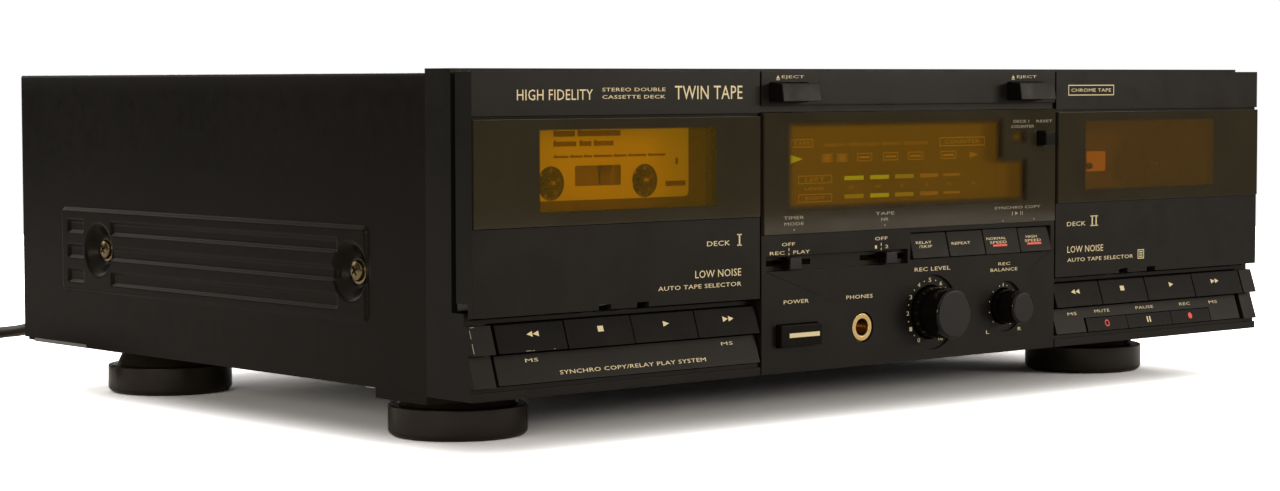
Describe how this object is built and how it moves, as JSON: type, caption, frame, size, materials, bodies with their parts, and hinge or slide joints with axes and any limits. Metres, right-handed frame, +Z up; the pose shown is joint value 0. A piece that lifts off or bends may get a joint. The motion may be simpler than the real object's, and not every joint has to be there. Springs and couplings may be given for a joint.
{
  "type": "double cassette deck",
  "caption": "Full-size stereo double cassette deck with two hinged cassette doors, piano-style keys, knobs, display window, feet and coiled mains cord.",
  "frame": {"origin": "on the floor under the middle of the deck's own box, mains cord left out", "axes": "+X to the right seen from the front, +Y backwards, +Z up; the front faces -Y"},
  "size_m": [0.469, 0.455, 0.129],
  "materials": {
    "front_plastic": "satin black moulded plastic",
    "key_plastic": "satin black moulded plastic",
    "knob_plastic": "gloss sides, satin face",
    "dark_plastic": "matt black",
    "foot_plastic": "gloss black",
    "smoked_window": "amber-smoked gloss",
    "display_glass": "dark glass",
    "case_paint": "fine-textured black",
    "screw_metal": "yellow-passivated",
    "gold_metal": "gold-plated",
    "zinc_metal": "zinc-plated",
    "bright_metal": "polished",
    "core_metal": "varnished laminations",
    "board": "phenolic board",
    "belt_rubber": "matt",
    "cord_jacket": "satin PVC",
    "cassette_plastic": "smoked cassette shell",
    "reel_plastic": "white hubs, brown tape",
    "legend_gold": "pale gold print",
    "legend_red": "red print",
    "label_paper": "paper label",
    "display_green": "lit segments",
    "display_red": "lit segments",
    "display_print": "printed scale",
    "jack_white": "white socket ring",
    "jack_red": "red socket ring"
  },
  "bodies": {
    "deck": {"front_bezel": "front_plastic", "centre_panel": "front_plastic", "display_window": "smoked_window", "display_tube": "display_glass", "potentiometers": "zinc_metal", "power_switch": "dark_plastic", "phones_jack": "gold_metal", "mechanism_plates": "zinc_metal", "tape_heads": "bright_metal", "capstan_motors": "zinc_metal", "drive_belts": "belt_rubber", "top_cover": "case_paint", "bottom_chassis": "case_paint", "rear_panel": "case_paint", "line_jacks": "dark_plastic", "case_screws": "screw_metal", "feet": "foot_plastic", "power_transformer": "core_metal", "circuit_boards": "board", "cord_bushing": "cord_jacket", "power_cord": "cord_jacket", "cord_coil": "cord_jacket", "power_plug": "cord_jacket"},
    "door_1": {"door_panel_1": "front_plastic", "door_window_1": "smoked_window", "cassette_holder_1": "dark_plastic", "cassette_shell": "cassette_plastic", "tape_reels": "reel_plastic"},
    "door_2": {"door_panel_2": "front_plastic", "door_window_2": "smoked_window", "cassette_holder_2": "dark_plastic"},
    "eject_button_1": {"eject_button_1": "key_plastic"},
    "eject_button_2": {"eject_button_2": "key_plastic"},
    "rewind_key_1": {"rewind_key_1": "key_plastic"},
    "stop_key_1": {"stop_key_1": "key_plastic"},
    "play_key_1": {"play_key_1": "key_plastic"},
    "fast_forward_key_1": {"fast_forward_key_1": "key_plastic"},
    "rewind_key_2": {"rewind_key_2": "key_plastic"},
    "stop_key_2": {"stop_key_2": "key_plastic"},
    "play_key_2": {"play_key_2": "key_plastic"},
    "fast_forward_key_2": {"fast_forward_key_2": "key_plastic"},
    "record_mute_key": {"record_mute_key": "key_plastic"},
    "pause_key": {"pause_key": "key_plastic"},
    "record_key": {"record_key": "key_plastic"},
    "relay_skip_key": {"relay_skip_key": "key_plastic"},
    "repeat_key": {"repeat_key": "key_plastic"},
    "copy_normal_key": {"copy_normal_key": "key_plastic"},
    "copy_high_key": {"copy_high_key": "key_plastic"},
    "power_button": {"power_button": "key_plastic"},
    "counter_reset_button": {"counter_reset_button": "key_plastic"},
    "timer_slider": {"timer_slider": "knob_plastic"},
    "filter_slider": {"filter_slider": "knob_plastic"},
    "level_knob": {"level_knob": "knob_plastic"},
    "balance_knob": {"balance_knob": "knob_plastic"},
    "capstan_flywheel_1": {"capstan_flywheel_1": "bright_metal"},
    "reel_spindle_1_left": {"reel_spindle_1_left": "dark_plastic"},
    "reel_spindle_1_right": {"reel_spindle_1_right": "dark_plastic"},
    "capstan_flywheel_2": {"capstan_flywheel_2": "bright_metal"},
    "reel_spindle_2_left": {"reel_spindle_2_left": "dark_plastic"},
    "reel_spindle_2_right": {"reel_spindle_2_right": "dark_plastic"}
  },
  "joints": [
    {"name": "door_1_hinge", "type": "hinge", "parent": "deck", "child": "door_1", "pos_m": [-0.1452, -0.1415, 0.05], "axis": [1, 0, 0], "range_deg": [0, 24]},
    {"name": "door_2_hinge", "type": "hinge", "parent": "deck", "child": "door_2", "pos_m": [0.1452, -0.1415, 0.05], "axis": [1, 0, 0], "range_deg": [0, 24]},
    {"name": "eject_button_1_press", "type": "slide", "parent": "deck", "child": "eject_button_1", "axis": [0, 1, 0], "range_m": [0, 0.003], "stiffness_N_per_m": 250},
    {"name": "eject_button_2_press", "type": "slide", "parent": "deck", "child": "eject_button_2", "axis": [0, 1, 0], "range_m": [0, 0.003], "stiffness_N_per_m": 250},
    {"name": "rewind_key_1_press", "type": "slide", "parent": "deck", "child": "rewind_key_1", "axis": [0, 1, 0], "range_m": [0, 0.002], "stiffness_N_per_m": 250},
    {"name": "stop_key_1_press", "type": "slide", "parent": "deck", "child": "stop_key_1", "axis": [0, 1, 0], "range_m": [0, 0.002], "stiffness_N_per_m": 250},
    {"name": "play_key_1_press", "type": "slide", "parent": "deck", "child": "play_key_1", "axis": [0, 1, 0], "range_m": [0, 0.002], "stiffness_N_per_m": 250},
    {"name": "fast_forward_key_1_press", "type": "slide", "parent": "deck", "child": "fast_forward_key_1", "axis": [0, 1, 0], "range_m": [0, 0.002], "stiffness_N_per_m": 250},
    {"name": "rewind_key_2_press", "type": "slide", "parent": "deck", "child": "rewind_key_2", "axis": [0, 1, 0], "range_m": [0, 0.002], "stiffness_N_per_m": 250},
    {"name": "stop_key_2_press", "type": "slide", "parent": "deck", "child": "stop_key_2", "axis": [0, 1, 0], "range_m": [0, 0.002], "stiffness_N_per_m": 250},
    {"name": "play_key_2_press", "type": "slide", "parent": "deck", "child": "play_key_2", "axis": [0, 1, 0], "range_m": [0, 0.002], "stiffness_N_per_m": 250},
    {"name": "fast_forward_key_2_press", "type": "slide", "parent": "deck", "child": "fast_forward_key_2", "axis": [0, 1, 0], "range_m": [0, 0.002], "stiffness_N_per_m": 250},
    {"name": "record_mute_key_press", "type": "slide", "parent": "deck", "child": "record_mute_key", "axis": [0, 1, 0], "range_m": [0, 0.0015], "stiffness_N_per_m": 250},
    {"name": "pause_key_press", "type": "slide", "parent": "deck", "child": "pause_key", "axis": [0, 1, 0], "range_m": [0, 0.0015], "stiffness_N_per_m": 250},
    {"name": "record_key_press", "type": "slide", "parent": "deck", "child": "record_key", "axis": [0, 1, 0], "range_m": [0, 0.0015], "stiffness_N_per_m": 250},
    {"name": "relay_skip_key_press", "type": "slide", "parent": "deck", "child": "relay_skip_key", "axis": [0, 1, 0], "range_m": [0, 0.0015], "stiffness_N_per_m": 250},
    {"name": "repeat_key_press", "type": "slide", "parent": "deck", "child": "repeat_key", "axis": [0, 1, 0], "range_m": [0, 0.0015], "stiffness_N_per_m": 250},
    {"name": "copy_normal_key_press", "type": "slide", "parent": "deck", "child": "copy_normal_key", "axis": [0, 1, 0], "range_m": [0, 0.0015], "stiffness_N_per_m": 250},
    {"name": "copy_high_key_press", "type": "slide", "parent": "deck", "child": "copy_high_key", "axis": [0, 1, 0], "range_m": [0, 0.0015], "stiffness_N_per_m": 250},
    {"name": "power_button_press", "type": "slide", "parent": "deck", "child": "power_button", "axis": [0, 1, 0], "range_m": [0, 0.003], "stiffness_N_per_m": 250},
    {"name": "counter_reset_button_press", "type": "slide", "parent": "deck", "child": "counter_reset_button", "axis": [0, 1, 0], "range_m": [0, 0.0012], "stiffness_N_per_m": 200},
    {"name": "timer_slider_slide", "type": "slide", "parent": "deck", "child": "timer_slider", "axis": [1, 0, 0], "range_m": [0, 0.009]},
    {"name": "filter_slider_slide", "type": "slide", "parent": "deck", "child": "filter_slider", "axis": [1, 0, 0], "range_m": [-0.009, 0]},
    {"name": "level_knob_turn", "type": "hinge", "parent": "deck", "child": "level_knob", "pos_m": [0.0095, -0.1465, 0.037], "axis": [0, 1, 0], "range_deg": [-150, 150]},
    {"name": "balance_knob_turn", "type": "hinge", "parent": "deck", "child": "balance_knob", "pos_m": [0.051, -0.1465, 0.037], "axis": [0, 1, 0], "range_deg": [-150, 150]},
    {"name": "capstan_flywheel_1_spin", "type": "hinge", "parent": "deck", "child": "capstan_flywheel_1", "pos_m": [-0.123, -0.1145, 0.061], "axis": [0, 1, 0], "continuous": true},
    {"name": "reel_spindle_1_left_spin", "type": "hinge", "parent": "deck", "child": "reel_spindle_1_left", "pos_m": [-0.16525, -0.1185, 0.0898], "axis": [0, 1, 0], "continuous": true},
    {"name": "reel_spindle_1_right_spin", "type": "hinge", "parent": "deck", "child": "reel_spindle_1_right", "pos_m": [-0.12275, -0.1185, 0.0898], "axis": [0, 1, 0], "continuous": true},
    {"name": "capstan_flywheel_2_spin", "type": "hinge", "parent": "deck", "child": "capstan_flywheel_2", "pos_m": [0.159, -0.1145, 0.061], "axis": [0, 1, 0], "continuous": true},
    {"name": "reel_spindle_2_left_spin", "type": "hinge", "parent": "deck", "child": "reel_spindle_2_left", "pos_m": [0.11675, -0.1185, 0.0898], "axis": [0, 1, 0], "continuous": true},
    {"name": "reel_spindle_2_right_spin", "type": "hinge", "parent": "deck", "child": "reel_spindle_2_right", "pos_m": [0.15925, -0.1185, 0.0898], "axis": [0, 1, 0], "continuous": true}
  ]
}
